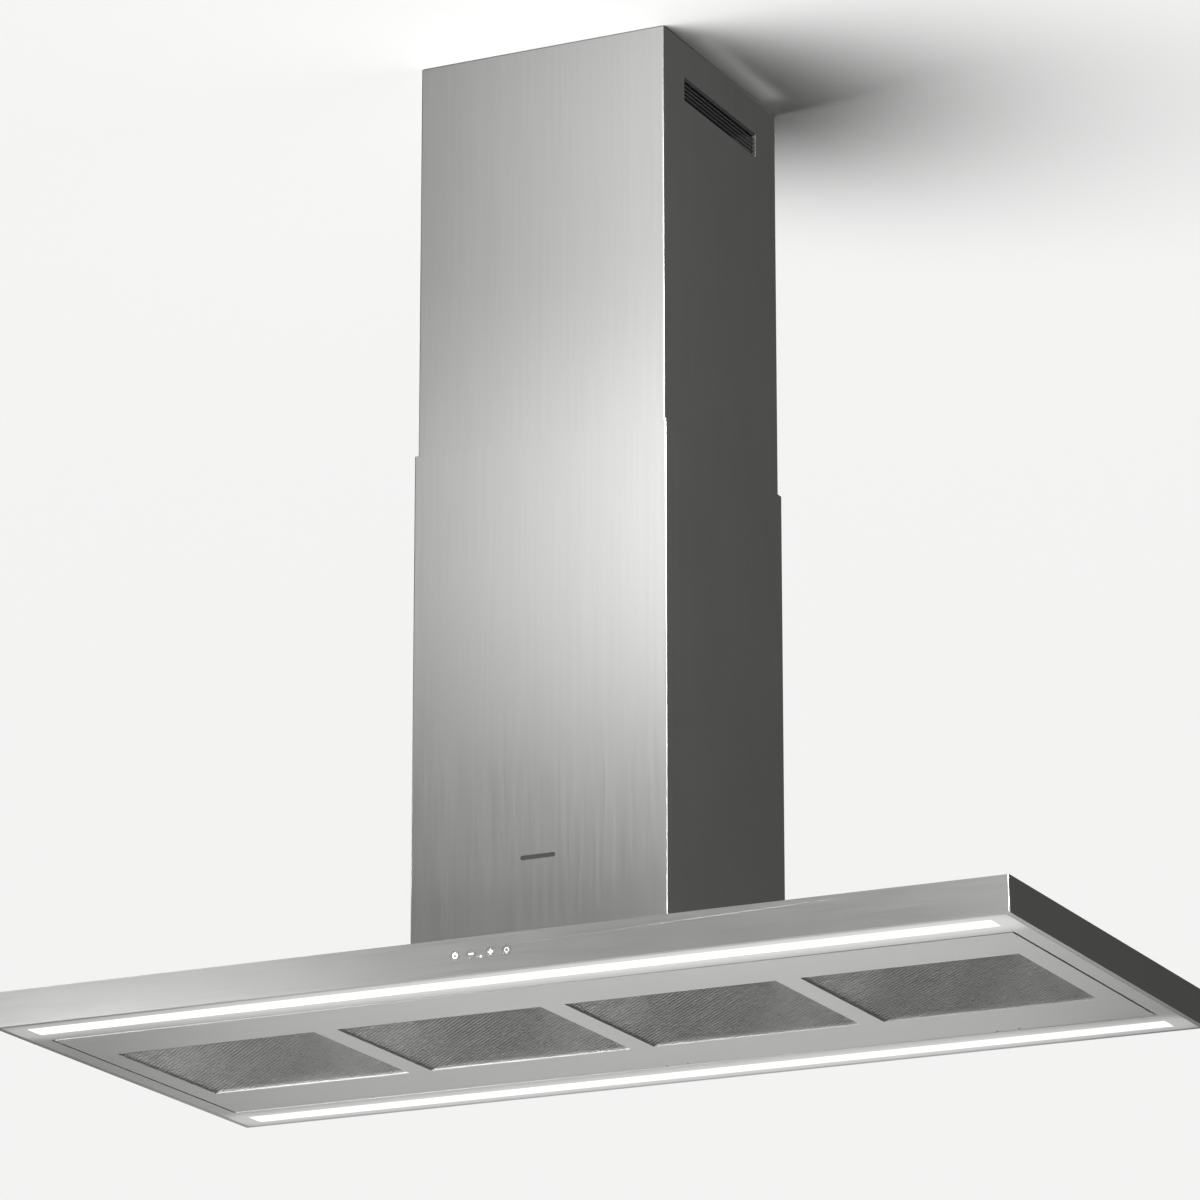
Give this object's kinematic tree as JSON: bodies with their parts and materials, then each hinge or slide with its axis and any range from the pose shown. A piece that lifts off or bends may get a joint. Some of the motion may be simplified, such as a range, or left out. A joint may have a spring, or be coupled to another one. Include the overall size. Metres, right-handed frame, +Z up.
{
  "type": "island range hood",
  "caption": "Ceiling-hung island range hood: thin steel canopy with a drop-down filter panel and light strips under a telescopic square flue, with blower, valve and push buttons.",
  "frame": {"origin": "centre of the ceiling plate's upper face, the plane of the ceiling", "axes": "+X along the canopy's long side, +Y to the back (the controls face -Y), +Z up"},
  "size_m": [1.2, 0.575, 1.1],
  "materials": {
    "flue_steel": "vertical brushed grain, satin",
    "canopy_steel": "horizontal brushed grain, satin",
    "underside_steel": "brushed grain along the length, satin",
    "frame_zinc": "bright zinc plate",
    "galvanised_sheet": "spangled galvanised sheet",
    "bolt_steel": "dark zinc",
    "black_plastic": "fine moulded texture",
    "blower_plastic": "moulded, slightly glossy ribs",
    "grey_plastic": "fine moulded texture",
    "duct_foil": "crinkled foil",
    "filter_frame_metal": "mill finish",
    "filter_mesh_metal": "expanded metal",
    "light_opal": "opal diffuser, lit",
    "circuit_board": "solder mask",
    "motor_metal": "cast and painted",
    "capacitor_case": "smooth",
    "button_steel": "satin with a lit sign",
    "badge_metal": "dark satin",
    "magnet_iron": "plated",
    "cable_sheath": "smooth sheath"
  },
  "bodies": {
    "ceiling_mount": {"ceiling_plate": "galvanised_sheet", "upper_frame_uprights": "frame_zinc", "upper_frame_braces": "frame_zinc", "frame_clamp_bolts": "bolt_steel", "upper_flue": "flue_steel", "upper_flue_screws": "bolt_steel", "air_deflector": "black_plastic", "vent_grille_left": "black_plastic", "vent_grille_right": "black_plastic", "flexible_duct": "duct_foil", "upper_duct_clamp": "frame_zinc"},
    "hood": {"lower_frame_uprights": "frame_zinc", "lower_frame_braces": "frame_zinc", "canopy_screws": "bolt_steel", "flue_brackets": "frame_zinc", "blower_casing": "galvanised_sheet", "scroll_front": "blower_plastic", "scroll_back": "blower_plastic", "motor": "motor_metal", "motor_bracket": "galvanised_sheet", "outlet_collar": "black_plastic", "valve_spindle": "frame_zinc", "lower_duct_clamp": "frame_zinc", "run_capacitor": "capacitor_case", "electronics_box": "grey_plastic", "electronics_lid": "grey_plastic", "power_board": "circuit_board", "cable_gland": "black_plastic", "wiring_loom": "cable_sheath", "canopy_shell": "canopy_steel", "underside_frame": "underside_steel", "light_profiles": "filter_frame_metal", "light_boards": "circuit_board", "light_diffuser_front": "light_opal", "light_diffuser_back": "light_opal", "light_driver": "grey_plastic", "control_housing": "black_plastic", "control_board": "circuit_board", "indicator_lens": "light_opal", "panel_hinges": "frame_zinc", "panel_magnets": "magnet_iron"},
    "lower_flue_cover": {"lower_flue": "flue_steel", "flue_badge": "badge_metal"},
    "impeller": {"impeller": "blower_plastic", "motor_shaft": "frame_zinc"},
    "valve_flap_left": {"valve_flap_left": "black_plastic"},
    "valve_flap_right": {"valve_flap_right": "black_plastic"},
    "filter_panel": {"filter_panel": "underside_steel"},
    "filter_1": {"filter_frame_1": "filter_frame_metal", "filter_mesh_1": "filter_mesh_metal"},
    "filter_2": {"filter_frame_2": "filter_frame_metal", "filter_mesh_2": "filter_mesh_metal"},
    "filter_3": {"filter_frame_3": "filter_frame_metal", "filter_mesh_3": "filter_mesh_metal"},
    "filter_4": {"filter_frame_4": "filter_frame_metal", "filter_mesh_4": "filter_mesh_metal"},
    "power_button": {"power_button": "button_steel"},
    "slower_button": {"slower_button": "button_steel"},
    "faster_button": {"faster_button": "button_steel"},
    "light_button": {"light_button": "button_steel"}
  },
  "joints": [
    {"name": "height_slide", "type": "slide", "parent": "ceiling_mount", "child": "hood", "axis": [0, 0, 1], "range_m": [-0.08, 0.25], "deforming": ["flexible_duct"]},
    {"name": "flue_lift", "type": "slide", "parent": "hood", "child": "lower_flue_cover", "axis": [0, 0, 1], "range_m": [0, 0.18]},
    {"name": "impeller_spin", "type": "hinge", "parent": "hood", "child": "impeller", "pos_m": [0.02, 0, -0.928], "axis": [0, 1, 0], "continuous": true},
    {"name": "right_flap_swing", "type": "hinge", "parent": "hood", "child": "valve_flap_right", "pos_m": [-0.034, 0, -0.755], "axis": [0, -1, 0], "range_deg": [0, 75]},
    {"name": "left_flap_swing", "type": "hinge", "parent": "hood", "child": "valve_flap_left", "pos_m": [-0.034, 0, -0.755], "axis": [0, 1, 0], "range_deg": [0, 75]},
    {"name": "panel_swing", "type": "hinge", "parent": "hood", "child": "filter_panel", "pos_m": [0, 0.202, -1.0956], "axis": [1, 0, 0], "range_deg": [0, 80]},
    {"name": "filter_1_lift", "type": "slide", "parent": "filter_panel", "child": "filter_1", "axis": [0, 0, 1], "range_m": [0, 0.02]},
    {"name": "filter_2_lift", "type": "slide", "parent": "filter_panel", "child": "filter_2", "axis": [0, 0, 1], "range_m": [0, 0.02]},
    {"name": "filter_3_lift", "type": "slide", "parent": "filter_panel", "child": "filter_3", "axis": [0, 0, 1], "range_m": [0, 0.02]},
    {"name": "filter_4_lift", "type": "slide", "parent": "filter_panel", "child": "filter_4", "axis": [0, 0, 1], "range_m": [0, 0.02]},
    {"name": "power_press", "type": "slide", "parent": "hood", "child": "power_button", "axis": [0, 1, 0], "range_m": [0, 0.001], "stiffness_N_per_m": 1200},
    {"name": "slower_press", "type": "slide", "parent": "hood", "child": "slower_button", "axis": [0, 1, 0], "range_m": [0, 0.001], "stiffness_N_per_m": 1200},
    {"name": "faster_press", "type": "slide", "parent": "hood", "child": "faster_button", "axis": [0, 1, 0], "range_m": [0, 0.001], "stiffness_N_per_m": 1200},
    {"name": "light_press", "type": "slide", "parent": "hood", "child": "light_button", "axis": [0, 1, 0], "range_m": [0, 0.001], "stiffness_N_per_m": 1200}
  ]
}
